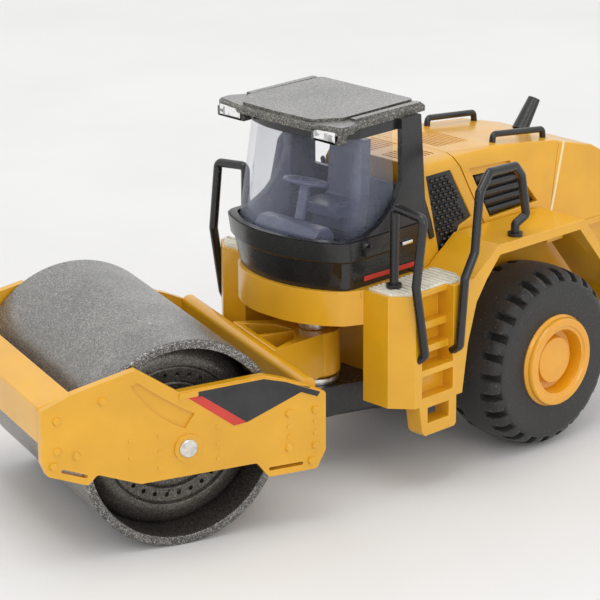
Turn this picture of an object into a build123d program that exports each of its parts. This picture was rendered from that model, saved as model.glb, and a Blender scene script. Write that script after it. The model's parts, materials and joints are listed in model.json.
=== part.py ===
from build123d import *
import math
import os

os.makedirs("parts", exist_ok=True)

# Toy road roller, millimetres, +Z up, standing on Z = 0.
# The rear machine is drawn with its wheel axle over X = 0, facing +X, left side towards +Y.
# The drum frame is drawn straight ahead of the steering pivot, then turned about it.

# Driving dimensions
drum_radius = 17.0
drum_width = 46.0
drum_wall = 1.5
wheel_radius = 15.5
axle_radius = 1.5
running_clearance = 0.05
pivot_x = 34.0
drum_x = 34.0
steer_angle = -19.0
footprint = (29.4, -8.563)
plate_outer_y = 24.8
plate_thickness = 1.4
side_y = 22.9
platform_z = 34.3
hood_half_width = 12.6
rail_radius = 0.75

plate_inner_y = plate_outer_y - plate_thickness
rear_place = Location((-footprint[0], -footprint[1], 0))
front_place = rear_place * Location((pivot_x, 0, 0), (0, 0, steer_angle))


def side_plane(y, x=0.0):
    """Upright plane facing the right-hand side, at height Y = y, with its own X = 0 at x."""
    return Plane(origin=(x, y, 0), x_dir=(1, 0, 0), z_dir=(0, -1, 0))


def cross_plane(x):
    """Upright plane facing forward at X = x."""
    return Plane(origin=(x, 0, 0), x_dir=(0, 1, 0), z_dir=(1, 0, 0))


def mirrored(piece):
    with BuildPart() as other:
        mirror(piece.part, about=Plane.XZ)
    return other


def write(piece, node, place):
    piece.part.label = node
    placed = piece.part.moved(place)
    placed.label = node
    export_step(placed, f"parts/{node}.step")


def write_pair(piece, node, place):
    write(piece, f"left_{node}", place)
    write(mirrored(piece), f"right_{node}", place)


def cylinder_across(radius, y_low, y_high, x, z):
    """A cylinder lying along Y, added to the part being built."""
    with Locations(Location((x, (y_low + y_high) / 2, z), (90, 0, 0))):
        Cylinder(radius, y_high - y_low)


# ---------------------------------------------------------------- drum frame
# Side plate outline, measured from the drum's axle (X) and from the ground (Z).
plate_outline = [
    (24.2, 18.4), (24.2, 26.9), (18.9, 28.9), (8.3, 31.2), (1.3, 26.4), (-13.2, 26.8), (-17.0, 25.6),
    (-24.0, 22.4), (-24.0, 12.6), (-22.4, 9.6), (-14.0, 9.6), (-11.9, 12.3), (7.9, 12.3), (15.1, 15.1),
    (16.7, 13.6), (23.3, 16.2),
]
corner_radius = 0.7
big_bolts = [
    (14.1, 27.0), (21.6, 25.0), (21.6, 20.0), (18.5, 18.8), (22.4, 17.8),
    (-17.5, 19.8), (-17.5, 14.0), (-22.1, 19.7), (-22.1, 13.7), (-21.4, 11.2),
]
small_rivets = [
    (9.6, 19.7), (9.6, 16.9), (4.7, 19.7), (4.7, 17.1), (4.7, 14.4), (-5.2, 19.6), (-5.2, 16.9),
    (-5.2, 14.3), (-17.5, 17.5), (-17.5, 15.8), (-22.1, 17.8), (-22.1, 15.7),
]
bolt_radius = 0.75
bolt_height = 0.45
rivet_radius = 0.38
rivet_height = 0.2
boss_radius = 2.3
boss_height = 0.35
slot_width = 0.6
bead_height = 0.25
relief_depth = 0.4

with BuildPart() as side_plate:
    with BuildSketch(side_plane(plate_outer_y, drum_x)) as plate_sketch:
        with BuildLine():
            Polyline(*plate_outline, close=True)
        make_face()
        fillet(plate_sketch.vertices(), radius=corner_radius)
    extrude(amount=plate_thickness)
    # bead along the upper edge behind the step
    with BuildSketch(side_plane(plate_outer_y, drum_x)):
        with BuildLine():
            Polyline((1.2, 26.1), (-13.1, 26.5), (-16.9, 25.3), (-23.4, 22.4), (-23.0, 21.5),
                     (-16.7, 24.4), (-13.0, 25.6), (1.4, 25.2), close=True)
        make_face()
    extrude(amount=-bead_height)
    # bolt heads, rivets and the axle boss
    with BuildSketch(side_plane(plate_outer_y, drum_x)):
        with Locations(*big_bolts):
            RegularPolygon(bolt_radius, 6)
    extrude(amount=-bolt_height, taper=18)
    with BuildSketch(side_plane(plate_outer_y, drum_x)):
        with Locations(*small_rivets):
            Circle(rivet_radius)
    extrude(amount=-rivet_height, taper=15)
    with BuildSketch(side_plane(plate_outer_y, drum_x)):
        with Locations((0, drum_radius)):
            Circle(boss_radius)
    extrude(amount=-boss_height, taper=10)
    # tapered curved relief
    with BuildSketch(side_plane(plate_outer_y, drum_x)):
        with BuildLine():
            Line((9.4, 28.6), (8.1, 29.0))
            ThreePointArc((8.1, 29.0), (3.2, 25.3), (-1.3, 22.4))
            Line((-1.3, 22.4), (0.3, 20.2))
            ThreePointArc((0.3, 20.2), (6.2, 24.4), (9.4, 28.6))
        make_face()
    extrude(amount=relief_depth, mode=Mode.SUBTRACT)
    # lashing slots and the axle hole
    with BuildSketch(side_plane(plate_outer_y, drum_x)):
        with Locations(Location((18.9, 15.9), 21.5)):
            SlotOverall(4.6, slot_width)
        with Locations((-17.0, 10.9)):
            SlotOverall(6.0, slot_width)
        with Locations((0, drum_radius)):
            Circle(axle_radius)
    extrude(amount=plate_thickness + boss_height, both=True, mode=Mode.SUBTRACT)
write_pair(side_plate, "side_plate", front_place)

with BuildPart() as front_beam:
    with BuildSketch(side_plane(plate_inner_y, drum_x)):
        with BuildLine():
            Polyline((24.2, 21.2), (24.2, 27.2), (18.9, 28.9), (18.5, 27.7), (22.9, 26.3), (22.9, 22.4),
                     (20.4, 22.4), (20.4, 21.2), close=True)
        make_face()
    extrude(amount=2 * plate_inner_y)
write(front_beam, "front_beam", front_place)

bar_front_x = -20.3
bar_rear_x = -22.8
bar_top_z = 24.6
bar_bottom_z = 20.6
screw_spacing = 9.0
screw_shank_radius = 0.6
screw_head_radius = 1.1
screw_head_height = 0.8
screw_reach = 1.8
screw_z = 22.2
with BuildPart() as cross_bar:
    with BuildSketch(side_plane(plate_inner_y, drum_x)) as bar_sketch:
        with BuildLine():
            Polyline((bar_rear_x, bar_bottom_z), (bar_front_x, bar_bottom_z), (bar_front_x, bar_top_z),
                     (bar_rear_x, bar_top_z), close=True)
        make_face()
        fillet(bar_sketch.vertices().sort_by(Axis.Z)[-2:], radius=1.1)
    extrude(amount=2 * plate_inner_y)
    with BuildSketch(cross_plane(drum_x + bar_rear_x)):
        with Locations((-screw_spacing / 2, screw_z), (screw_spacing / 2, screw_z)):
            Circle(screw_shank_radius)
    extrude(amount=screw_reach, mode=Mode.SUBTRACT)
write(cross_bar, "cross_bar", front_place)

yoke_bottom_z = 16.2
yoke_top_z = 24.2
yoke_front_half = 8.2
hub_radius = 4.4
hub_bore = axle_radius + running_clearance
yoke_wall = 1.2
with BuildPart() as yoke:
    with BuildSketch(Plane.XY.offset(yoke_bottom_z)):
        with BuildLine():
            Polyline((drum_x + bar_rear_x, yoke_front_half), (0.6, hub_radius - 0.05),
                     (0.6, -hub_radius + 0.05), (drum_x + bar_rear_x, -yoke_front_half), close=True)
        make_face()
        Circle(hub_radius)
    extrude(amount=yoke_top_z - yoke_bottom_z)
    chamfer(yoke.faces().sort_by(Axis.Z)[0].edges(), length=0.6)
    # two pockets from above leave side walls, a middle rib and the hub
    pocket_front_x = drum_x + bar_rear_x - yoke_wall
    with BuildSketch(Plane.XY.offset(yoke_top_z)):
        for turn in (1, -1):
            with BuildLine():
                Polyline((pocket_front_x, 0.5 * turn), (pocket_front_x, 6.7 * turn), (5.6, 4.1 * turn),
                         (4.0, 0.5 * turn), close=True)
            make_face()
    extrude(amount=-6.6, mode=Mode.SUBTRACT)
    with BuildSketch(Plane.XY.offset(yoke_bottom_z)):
        Circle(hub_bore)
    extrude(amount=yoke_top_z - yoke_bottom_z, mode=Mode.SUBTRACT)
    with BuildSketch(cross_plane(drum_x + bar_rear_x)):
        with Locations((-screw_spacing / 2, screw_z), (screw_spacing / 2, screw_z)):
            Circle(screw_shank_radius)
    extrude(amount=-yoke_wall, mode=Mode.SUBTRACT)
write(yoke, "yoke", front_place)

with BuildPart() as frame_screws:
    with BuildSketch(cross_plane(drum_x + bar_rear_x - yoke_wall)):
        with Locations((-screw_spacing / 2, screw_z), (screw_spacing / 2, screw_z)):
            Circle(screw_head_radius)
    extrude(amount=-screw_head_height, taper=12)
    with BuildSketch(cross_plane(drum_x + bar_rear_x - yoke_wall)):
        with Locations((-screw_spacing / 2, screw_z), (screw_spacing / 2, screw_z)):
            Circle(screw_shank_radius)
    extrude(amount=yoke_wall + screw_reach)
write(frame_screws, "frame_screws", front_place)

with BuildPart() as drum_axle:
    cylinder_across(axle_radius, -25.6, 25.6, drum_x, drum_radius)
    chamfer(drum_axle.edges().filter_by(GeomType.CIRCLE), length=0.2)
write(drum_axle, "drum_axle", front_place)

# ---------------------------------------------------------------- drum
drum_half = drum_width / 2
shell_bore = drum_radius - drum_wall
dish_rim_y = 16.0
dish_crown_y = 19.0
ring_y = 18.6
end_back_y = 14.2
bush_radius = 3.0
drum_centre = (drum_x, 0, drum_radius)
drum_section = Plane(origin=drum_centre, x_dir=(0, 0, 1), z_dir=(1, 0, 0))
drum_axis = Axis(drum_centre, (0, 1, 0))

with BuildPart() as drum_shell:
    cylinder_across(drum_radius, -drum_half, drum_half, drum_x, drum_radius)
    chamfer(drum_shell.edges().filter_by(GeomType.CIRCLE), length=0.25)
    with BuildSketch(side_plane(drum_half, drum_x)):
        with Locations((0, drum_radius)):
            Circle(shell_bore)
    extrude(amount=drum_width, mode=Mode.SUBTRACT)
write(drum_shell, "drum_shell", front_place)

# Dished end, drawn as radius against Y; this section plane's Y runs towards -Y.
with BuildPart() as drum_end:
    with BuildSketch(drum_section):
        with BuildLine():
            Line((bush_radius, -end_back_y), (shell_bore, -end_back_y))
            Line((shell_bore, -end_back_y), (shell_bore, -dish_rim_y))
            ThreePointArc((shell_bore, -dish_rim_y), (13.9, -18.3), (11.5, -dish_crown_y))
            Polyline((11.5, -dish_crown_y), (11.3, -ring_y + 0.2), (11.1, -ring_y), (8.9, -ring_y),
                     (8.7, -ring_y + 0.5), (8.4, -ring_y + 0.3), (bush_radius, -ring_y + 0.3),
                     (bush_radius, -end_back_y))
        make_face()
    revolve(axis=drum_axis)
    # ring of small bolt holes
    with BuildSketch(side_plane(ring_y, drum_x)):
        with Locations((0, drum_radius)):
            with PolarLocations(10.0, 30):
                Circle(0.38)
    extrude(amount=0.9, mode=Mode.SUBTRACT)
write_pair(drum_end, "drum_end", front_place)

with BuildPart() as drum_bush:
    cylinder_across(bush_radius, end_back_y, ring_y + 0.4, drum_x, drum_radius)
    cylinder_across(2.4, ring_y + 0.4, plate_inner_y - 0.2, drum_x, drum_radius)
    with BuildSketch(side_plane(plate_inner_y, drum_x)):
        with Locations((0, drum_radius)):
            Circle(axle_radius + running_clearance)
    extrude(amount=plate_inner_y - end_back_y, mode=Mode.SUBTRACT)
write_pair(drum_bush, "drum_bush", front_place)

# ---------------------------------------------------------------- rear wheels
rim_outer_y = 25.3
tyre_inner_y = 11.0
tyre_outer_y = 23.8
tyre_bore = 8.0
wheel_section = Plane(origin=(0, 0, wheel_radius), x_dir=(0, 0, 1), z_dir=(1, 0, 0))
wheel_axis = Axis((0, 0, wheel_radius), (0, 1, 0))
notch_count = 26
notch_width = 1.35
notch_depth = 1.9
notch_length = 3.6

with BuildPart() as tyre:
    with BuildSketch(wheel_section):
        with BuildLine():
            Line((tyre_bore, -tyre_inner_y), (12.4, -tyre_inner_y))
            ThreePointArc((12.4, -tyre_inner_y), (14.3, -tyre_inner_y - 0.6), (15.1, -tyre_inner_y - 2.2))
            ThreePointArc((15.1, -tyre_inner_y - 2.2), (wheel_radius, -(tyre_inner_y + tyre_outer_y) / 2),
                          (15.1, -tyre_outer_y + 2.2))
            ThreePointArc((15.1, -tyre_outer_y + 2.2), (14.3, -tyre_outer_y + 0.6), (12.4, -tyre_outer_y))
            Line((12.4, -tyre_outer_y), (tyre_bore, -tyre_outer_y))
            Line((tyre_bore, -tyre_outer_y), (tyre_bore, -tyre_inner_y))
        make_face()
    revolve(axis=wheel_axis)
    # shoulder notches on both sides of the tread
    with BuildSketch(side_plane(tyre_outer_y, 0)):
        with Locations((0, wheel_radius)):
            with PolarLocations(wheel_radius - notch_depth / 2 + 0.5, notch_count):
                Rectangle(notch_depth + 1.0, notch_width)
    extrude(amount=notch_length, mode=Mode.SUBTRACT)
    with BuildSketch(side_plane(tyre_inner_y + notch_length, 0)):
        with Locations((0, wheel_radius)):
            with PolarLocations(wheel_radius - notch_depth / 2 + 0.5, notch_count, start_angle=7):
                Rectangle(notch_depth + 1.0, notch_width)
    extrude(amount=notch_length, mode=Mode.SUBTRACT)
write_pair(tyre, "tyre", rear_place)

with BuildPart() as rim:
    with BuildSketch(wheel_section):
        with BuildLine():
            Polyline((axle_radius, -11.6), (4.0, -11.6), (4.0, -20.0), (5.0, -21.0), (6.4, -21.4),
                     (6.4, -tyre_inner_y), (tyre_bore, -tyre_inner_y), (tyre_bore, -24.0), (7.6, -24.4),
                     (7.6, -rim_outer_y + 0.2), (7.4, -rim_outer_y), (6.3, -rim_outer_y), (6.1, -25.0),
                     (5.6, -25.0), (5.2, -22.6), (4.2, -22.2), (3.9, -23.8), (0, -24.0), (0, -22.0),
                     (axle_radius, -22.0), close=True)
        make_face()
    revolve(axis=wheel_axis)
write_pair(rim, "rim", rear_place)

with BuildPart() as rear_axle:
    cylinder_across(axle_radius, -22.0, 22.0, 0, wheel_radius)
write(rear_axle, "rear_axle", rear_place)

# ---------------------------------------------------------------- chassis and pivot
chassis_bottom_z = 9.6
tongue_top_z = 15.0
tongue_radius = 5.4
washer_top_z = yoke_bottom_z - 0.1
chassis_half_width = 10.2
carrier_half_width = 9.1
screw_positions = [(-26.0, -7.0), (-26.0, 7.0), (20.0, -7.0), (20.0, 7.0)]
with BuildPart() as chassis:
    with BuildSketch(Plane.XY.offset(chassis_bottom_z)):
        with Locations((pivot_x, 0)):
            Circle(tongue_radius)
        with BuildLine():
            Polyline((pivot_x, tongue_radius), (28.0, 7.4), (24.0, chassis_half_width),
                     (-32.0, chassis_half_width), (-32.0, -chassis_half_width), (24.0, -chassis_half_width),
                     (28.0, -7.4), (pivot_x, -tongue_radius),
                     close=True)
        make_face()
    extrude(amount=tongue_top_z - chassis_bottom_z)
    chamfer(chassis.faces().sort_by(Axis.Z)[0].edges(), length=0.5)
    # axle carrier
    with BuildSketch(side_plane(carrier_half_width, 0)):
        with BuildLine():
            Polyline((-6.0, tongue_top_z - 0.5), (-4.0, 19.0), (4.0, 19.0), (6.0, tongue_top_z - 0.5),
                     close=True)
        make_face()
    extrude(amount=2 * carrier_half_width)
    with BuildSketch(side_plane(chassis_half_width, 0)):
        with Locations((0, wheel_radius)):
            Circle(axle_radius + running_clearance)
    extrude(amount=2 * chassis_half_width, mode=Mode.SUBTRACT)
    # pivot screw hole and the body screw holes
    with BuildSketch(Plane.XY.offset(chassis_bottom_z)):
        with Locations((pivot_x, 0)):
            Circle(axle_radius)
        with Locations(*screw_positions):
            Circle(0.9)
    extrude(amount=tongue_top_z - chassis_bottom_z, mode=Mode.SUBTRACT)
    with BuildSketch(Plane.XY.offset(chassis_bottom_z)):
        with Locations(*screw_positions):
            Circle(1.8)
    extrude(amount=1.4, mode=Mode.SUBTRACT)
write(chassis, "chassis", rear_place)

with BuildPart() as pivot_screw:
    with BuildSketch(Plane.XY.offset(chassis_bottom_z)):
        with Locations((pivot_x, 0)):
            Circle(axle_radius)
    extrude(amount=yoke_top_z + 0.1 - chassis_bottom_z)
    with BuildSketch(Plane.XY.offset(yoke_top_z + 0.1)):
        with Locations((pivot_x, 0)):
            Circle(2.6)
    extrude(amount=1.4)
    fillet(pivot_screw.faces().sort_by(Axis.Z)[-1].edges(), radius=0.5)
    with BuildSketch(Plane.XY.offset(yoke_top_z + 1.5)):
        with Locations((pivot_x, 0)):
            Rectangle(3.0, 0.6)
            Rectangle(0.6, 3.0)
    extrude(amount=-0.8, mode=Mode.SUBTRACT)
write(pivot_screw, "pivot_screw", rear_place)

with BuildPart() as pivot_washer:
    with BuildSketch(Plane.XY.offset(tongue_top_z)):
        with Locations((pivot_x, 0)):
            Circle(4.2)
            Circle(axle_radius, mode=Mode.SUBTRACT)
    extrude(amount=washer_top_z - tongue_top_z)
write(pivot_washer, "pivot_washer", rear_place)

with BuildPart() as chassis_screws:
    with BuildSketch(Plane.XY.offset(chassis_bottom_z + 0.4)):
        with Locations(*screw_positions):
            Circle(1.7)
    extrude(amount=1.0)
    with BuildSketch(Plane.XY.offset(chassis_bottom_z + 1.4)):
        with Locations(*screw_positions):
            Circle(0.9)
    extrude(amount=6.0)
write(chassis_screws, "chassis_screws", rear_place)

# ---------------------------------------------------------------- body casting
column_front_x = 36.5
column_inner_y = 13.9
column_bottom_z = 15.2
apron_bottom_z = 28.4
deck_top_z = 33.5
deck_thickness = 1.2
core_half_width = 10.4
wall = 1.2
body_rear_x = -33.0
fender_top_z = 38.7
arch_outer = [(19.9, platform_z), (13.5, 38.8), (-8.1, fender_top_z - 0.2), (-20.1, 23.8), (-20.1, 20.3)]
arch_inner = [(-18.4, 20.3), (-18.4, 23.3), (-7.0, 36.9), (13.3, 37.0), (16.5, 33.6), (19.0, 30.1),
              (21.0, 23.5), (22.3, column_bottom_z)]
ladder_front_x = 32.0
ladder_rear_x = 24.6
ladder_back_y = 19.3
foot_bottom_z = 9.9
boss_radius_body = 2.0


def side_box(x_low, x_high, y_low, y_high, z_low, z_high, mode=Mode.ADD):
    """A box between the given limits, in the part being built."""
    with Locations(((x_low + x_high) / 2, (y_low + y_high) / 2, (z_low + z_high) / 2)):
        Box(x_high - x_low, y_high - y_low, z_high - z_low, mode=mode)


with BuildPart() as body_half:
    # front corner column, with its angled outer corner
    with BuildSketch(Plane.XY.offset(column_bottom_z)):
        with BuildLine():
            Polyline((22.6, column_inner_y), (column_front_x, column_inner_y), (column_front_x, 19.4),
                     (33.6, side_y), (22.6, side_y), close=True)
        make_face()
    extrude(amount=platform_z - column_bottom_z)
    # hollow of the column, open below
    side_box(23.9, 35.2, column_inner_y + wall, ladder_back_y - wall, column_bottom_z,
             platform_z - deck_thickness, mode=Mode.SUBTRACT)
    # fender band from the ladder round the wheel
    with BuildSketch(side_plane(side_y)):
        with BuildLine():
            Polyline((23.4, column_bottom_z), (23.4, platform_z), *arch_outer, *arch_inner, close=True)
        make_face()
    extrude(amount=side_y - hood_half_width)
    side_box(-7.1, -3.1, 13.4, 18.9, 34.5, 37.2)
    # platform beside the cab and the bay's rear wall
    side_box(18.5, 23.4, hood_half_width, side_y - 1.5, platform_z - deck_thickness, platform_z)
    side_box(24.0, 25.3, 0, column_inner_y, tongue_top_z, platform_z)
    side_box(24.0, 37.0, 0, column_inner_y, platform_z - deck_thickness, platform_z)
    # core over the chassis, open below
    side_box(body_rear_x, 24.0, core_half_width - wall, core_half_width, tongue_top_z, deck_top_z)
    side_box(body_rear_x, 24.0, 0, hood_half_width, deck_top_z - deck_thickness, deck_top_z)
    side_box(body_rear_x, body_rear_x + wall, 0, core_half_width, tongue_top_z, deck_top_z)
    side_box(-1.9, 1.9, core_half_width - wall, core_half_width, tongue_top_z, wheel_radius + 1.9,
             mode=Mode.SUBTRACT)
    # ladder: recess with two treads, pocket, and the foot with its opening
    side_box(ladder_rear_x, ladder_front_x, ladder_back_y, side_y, 21.4, platform_z, mode=Mode.SUBTRACT)
    side_box(ladder_rear_x, ladder_front_x, ladder_back_y, 21.4, platform_z - 1.0, platform_z)
    side_box(ladder_rear_x, ladder_front_x, ladder_back_y, 21.1, 27.5, 28.8)
    side_box(ladder_rear_x, ladder_front_x, ladder_back_y, 21.7, 23.7, 24.9)
    side_box(ladder_rear_x, ladder_front_x, 20.5, side_y, 16.6, 20.3, mode=Mode.SUBTRACT)
    with BuildSketch(side_plane(side_y)):
        with BuildLine():
            Polyline((23.7, column_bottom_z), (23.7, foot_bottom_z + 0.5), (24.2, foot_bottom_z),
                     (31.2, foot_bottom_z), (31.9, foot_bottom_z + 0.8), (32.6, column_bottom_z), close=True)
        make_face()
    extrude(amount=3.2)
    side_box(25.5, 30.6, 19.5, side_y, 12.0, 14.7, mode=Mode.SUBTRACT)
    # bowed apron under the cab
    with BuildSketch(Plane.XY.offset(apron_bottom_z)):
        with BuildLine():
            Line((36.0, 0), (44.2, 0))
            ThreePointArc((44.2, 0), (43.1, 7.0), (39.6, 12.4))
            Line((39.6, 12.4), (36.5, column_inner_y))
            Line((36.5, column_inner_y), (36.0, column_inner_y))
            Line((36.0, column_inner_y), (36.0, 0))
        make_face()
    extrude(amount=platform_z - apron_bottom_z)
    with BuildSketch(Plane.XY.offset(apron_bottom_z)):
        with BuildLine():
            Line((36.0, 0), (42.8, 0))
            ThreePointArc((42.8, 0), (41.8, 6.4), (38.8, 11.2))
            Line((38.8, 11.2), (36.0, 12.5))
            Line((36.0, 12.5), (36.0, 0))
        make_face()
    extrude(amount=platform_z - deck_thickness - apron_bottom_z, mode=Mode.SUBTRACT)

with BuildPart() as body_casting:
    add(body_half.part)
    mirror(body_half.part, about=Plane.XZ)
    with BuildSketch(Plane.XY.offset(tongue_top_z)):
        with Locations(*screw_positions):
            Circle(boss_radius_body)
            Circle(0.9, mode=Mode.SUBTRACT)
    extrude(amount=deck_top_z - deck_thickness - tongue_top_z)
write(body_casting, "body_casting", rear_place)

mat_thickness = 0.5
mat_pitch = 1.1
mat_outline = [(36.0, 14.6), (36.1, 19.3), (33.5, 22.2), (32.2, 22.2), (31.9, 21.2), (24.7, 21.2),
               (24.4, 22.0),
               (22.0, 22.0), (20.6, 19.6), (20.6, 14.6)]
with BuildPart() as tread_mat:
    with BuildSketch(Plane.XY.offset(platform_z)):
        with BuildLine():
            Polyline(*mat_outline, close=True)
        make_face()
    extrude(amount=mat_thickness)
    with BuildSketch(Plane.XY.offset(platform_z + mat_thickness)):
        with Locations((28.3, 18.4)):
            with GridLocations(mat_pitch, 0, 14, 1):
                Rectangle(mat_pitch / 2, 9.0)
    extrude(amount=-mat_thickness / 2, mode=Mode.SUBTRACT)
write_pair(tread_mat, "tread_mat", rear_place)

# ---------------------------------------------------------------- hood
hood_front_x = 20.6
hood_top_half = 10.6
hood_tilt = math.degrees(math.atan2(hood_half_width - hood_top_half, 49.0 - deck_top_z))
hood_side = Plane(
    origin=(0, hood_half_width, deck_top_z),
    x_dir=(-1, 0, 0),
    z_dir=(0, math.cos(math.radians(hood_tilt)), math.sin(math.radians(hood_tilt))),
)
hood_profile = [(hood_front_x, deck_top_z), (hood_front_x, 51.2), (11.0, 51.2), (0.0, 50.6), (-14.0, 48.9),
                (-24.0, 46.2), (-31.0, 42.2), (-35.0, 37.5), (-36.0, 31.0), (-36.0, 20.0),
                (body_rear_x, 20.0),
                (body_rear_x, deck_top_z)]
hood_section = [(hood_half_width, deck_top_z), (hood_top_half, 49.0), (9.6, 50.6), (7.6, 51.4)]
front_seam = ((11.2, 52.0), (5.2, 38.4), (5.2, deck_top_z - 1))
rear_seam = ((-16.4, 52.0), (-11.2, 35.8), (-11.2, deck_top_z - 1))
seam_gap = 0.15


def on_side(points):
    """Points given as X and Z, laid on the sloping left flank of the hood."""
    return [(-x, (z - deck_top_z) / math.cos(math.radians(hood_tilt))) for x, z in points]


def hood_solid(inset):
    """The whole hood shape; inset shrinks it evenly to make the inside."""
    with BuildPart() as solid:
        with BuildSketch(side_plane(20)):
            with BuildLine():
                Polyline(*hood_profile, close=True)
            make_face()
            if inset:
                offset(amount=-inset, mode=Mode.REPLACE)
        extrude(amount=40)
        with BuildSketch(cross_plane(-40)):
            with BuildLine():
                half = [(y - inset, z - inset) for y, z in hood_section[1:]]
                Polyline((hood_half_width - inset, 19.0), (hood_half_width - inset, deck_top_z), *half,
                         (0, 51.6 - inset), *[(-y, z) for y, z in reversed(half)],
                         (-hood_half_width + inset, deck_top_z), (-hood_half_width + inset, 19.0), close=True)
            make_face()
        extrude(amount=80, mode=Mode.INTERSECT)
    return solid.part


def side_prism(outline):
    """A prism as wide as the machine from an outline in X and Z."""
    with BuildPart() as prism:
        with BuildSketch(side_plane(20)):
            with BuildLine():
                Polyline(*outline, close=True)
            make_face()
        extrude(amount=40)
    return prism.part


def flank_prism(outline, low, high):
    """Matching left and right prisms on the hood's flanks, from depth low to height high."""
    with BuildPart() as prism:
        with BuildSketch(hood_side.offset(low)):
            with BuildLine():
                Polyline(*on_side(outline), close=True)
            make_face()
        extrude(amount=high - low)
    return prism


hood_outer = hood_solid(0)
hood_inner = hood_solid(wall)
mesh_outline = [(18.2, 49.0), (12.4, 49.0), (8.2, 40.2), (11.2, 39.4), (14.2, 35.2), (16.6, 35.2)]
louvre_outline = [(7.6, 48.2), (-2.4, 47.6), (-8.6, 39.4), (3.6, 39.0)]
panel_depth = 0.9
mesh_recess = flank_prism(mesh_outline, -panel_depth, 1.0)
louvre_recess = flank_prism(louvre_outline, -1.9, 1.0)
below = 10.0
above = 60.0

slit_top_z = 51.6
slit_pitch = 0.9
slit_width = 0.4
with BuildPart() as hood_front:
    add(hood_outer)
    add(side_prism([(30.0, above), (8.0 + seam_gap, above), front_seam[0], front_seam[1], front_seam[2],
                    (30.0, deck_top_z - 1)]), mode=Mode.INTERSECT)
    add(hood_inner, mode=Mode.SUBTRACT)
    add(mesh_recess.part, mode=Mode.SUBTRACT)
    mirror(mesh_recess.part, about=Plane.XZ, mode=Mode.SUBTRACT)
    # fine-slit grilles in the top
    with BuildSketch(Plane.XY.offset(slit_top_z)):
        with Locations((16.0, 4.2), (16.0, -4.2)):
            with GridLocations(slit_pitch, 0, 8, 1):
                Rectangle(slit_width, 6.0)
    extrude(amount=-0.9, mode=Mode.SUBTRACT)
write(hood_front, "hood_front", rear_place)

middle_zone = [(8.0, above), front_seam[0], front_seam[1], front_seam[2], rear_seam[2], rear_seam[1],
               rear_seam[0], (-17.0, above)]
with BuildPart() as hood_middle:
    add(hood_outer)
    add(side_prism([(x - seam_gap if x > 0 else x, z) for x, z in middle_zone]), mode=Mode.INTERSECT)
    add(hood_inner, mode=Mode.SUBTRACT)
    add(louvre_recess.part, mode=Mode.SUBTRACT)
    mirror(louvre_recess.part, about=Plane.XZ, mode=Mode.SUBTRACT)
    with BuildSketch(Plane.XY.offset(slit_top_z)):
        with Locations((5.0, 0)):
            with GridLocations(slit_pitch, 0, 9, 1):
                Rectangle(slit_width, 9.0)
    extrude(amount=-1.1, mode=Mode.SUBTRACT)
write(hood_middle, "hood_middle", rear_place)

with BuildPart() as hood_rear:
    add(hood_outer)
    add(side_prism([(-17.0 - seam_gap, above), (-16.4 - seam_gap, 52.0), (-11.2 - seam_gap, 35.8),
                    (-11.2 - seam_gap, deck_top_z - 1), (-11.2, below), (-50.0, below), (-50.0, above)]),
        mode=Mode.INTERSECT)
    add(hood_inner, mode=Mode.SUBTRACT)
    side_box(-37.0, -34.0, -8.0, 8.0, 24.0, 34.0, mode=Mode.SUBTRACT)
write(hood_rear, "hood_rear", rear_place)

mesh_panel = flank_prism(mesh_outline, -panel_depth, -0.15)
write_pair(mesh_panel, "mesh_panel", rear_place)

slat_count = 5
slat_pitch = 1.6
slat_height = 0.8
slat_lean_rear = 0.72
slat_lean_front = 0.42
with BuildPart() as louvre_panel:
    add(flank_prism(louvre_outline, -1.9, -1.3).part)
    for slat in range(slat_count):
        rise = slat * slat_pitch
        z_low = 39.9 + rise
        x_rear = -7.2 + rise * slat_lean_rear
        x_front = 3.2 + rise * slat_lean_front
        slat_outline = [(x_front, z_low), (x_rear, z_low), (x_rear, z_low + slat_height),
                        (x_front, z_low + slat_height)]
        add(flank_prism(slat_outline, -1.3, -0.3).part)
write_pair(louvre_panel, "louvre_panel", rear_place)

gap_count = 6
gap_pitch = 1.5
gap_height = 0.7
first_gap_z = 24.9
with BuildPart() as rear_grille:
    side_box(-35.7, -34.9, -7.9, 7.9, 24.1, 33.9)
    for bar in range(gap_count):
        gap_z = first_gap_z + bar * gap_pitch
        side_box(-36.0, -35.3, -7.2, 7.2, gap_z, gap_z + gap_height, mode=Mode.SUBTRACT)
write(rear_grille, "rear_grille", rear_place)

# ---------------------------------------------------------------- rear bumper weight and lamps
tail_lamp_y = (11.5, 14.5)
tail_lamp_z = (15.5, 17.5)
tail_pocket_x = -37.4
with BuildPart() as rear_bumper:
    side_box(-38.0, body_rear_x, -16.0, 16.0, 13.0, 19.9)
    chamfer(rear_bumper.faces().sort_by(Axis.X)[0].edges(), length=0.8)
    for turn in (1, -1):
        side_box(-39.0, tail_pocket_x, *sorted(y * turn for y in (tail_lamp_y[0] - 0.1, tail_lamp_y[1] + 0.1)),
                 tail_lamp_z[0] - 0.1, tail_lamp_z[1] + 0.1, mode=Mode.SUBTRACT)
write(rear_bumper, "rear_bumper", rear_place)

with BuildPart() as tail_lamps:
    for turn in (1, -1):
        side_box(-38.3, tail_pocket_x, *sorted(y * turn for y in tail_lamp_y), *tail_lamp_z)
write(tail_lamps, "tail_lamps", rear_place)

# ---------------------------------------------------------------- cab
cab_rear_x = 21.8
skirt_top_z = 43.0
skirt_step_z = 39.6
roof_under_z = 61.2
glass_thickness = 0.9
floor_z = 40.6


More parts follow.
